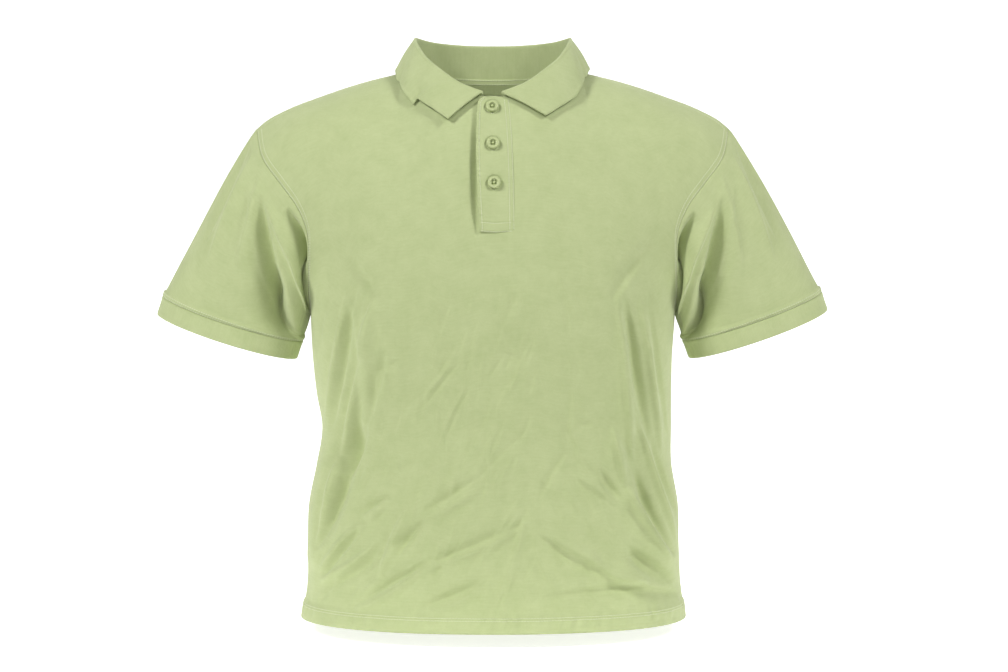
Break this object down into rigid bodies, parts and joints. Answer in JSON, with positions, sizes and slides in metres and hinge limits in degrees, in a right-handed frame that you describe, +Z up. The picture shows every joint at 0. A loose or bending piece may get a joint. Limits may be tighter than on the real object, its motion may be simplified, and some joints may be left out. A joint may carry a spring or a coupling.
{
  "type": "t-shirt",
  "caption": "Short-sleeved knitted polo shirt with a turned-down collar, a buttoned half placket and cuff bands, filled out with no wearer.",
  "frame": {"origin": "the middle of the neck's base between the two shoulder seams, at the level where the wearer's shoulders hold the shirt up", "axes": "+X towards the wearer's left, -Y out of the front, +Z up"},
  "size_m": [0.7836, 0.245, 0.6754],
  "materials": {
    "body_cloth": "cotton pique knit, pale yellow-green",
    "rib_cloth": "flat rib knit, pale yellow-green",
    "tape": "woven herringbone tape, pale yellow-green",
    "button": "dyed-to-match four-hole button, satin"
  },
  "bodies": {
    "root": {"front": "body_cloth", "back": "body_cloth", "sleeve_left": "body_cloth", "sleeve_right": "body_cloth", "cuff_left": "rib_cloth", "cuff_right": "rib_cloth", "collar": "rib_cloth", "neck_tape": "tape", "placket_under": "body_cloth", "placket_top": "body_cloth", "button_1": "button", "button_2": "button", "button_3": "button"}
  },
  "joints": []
}
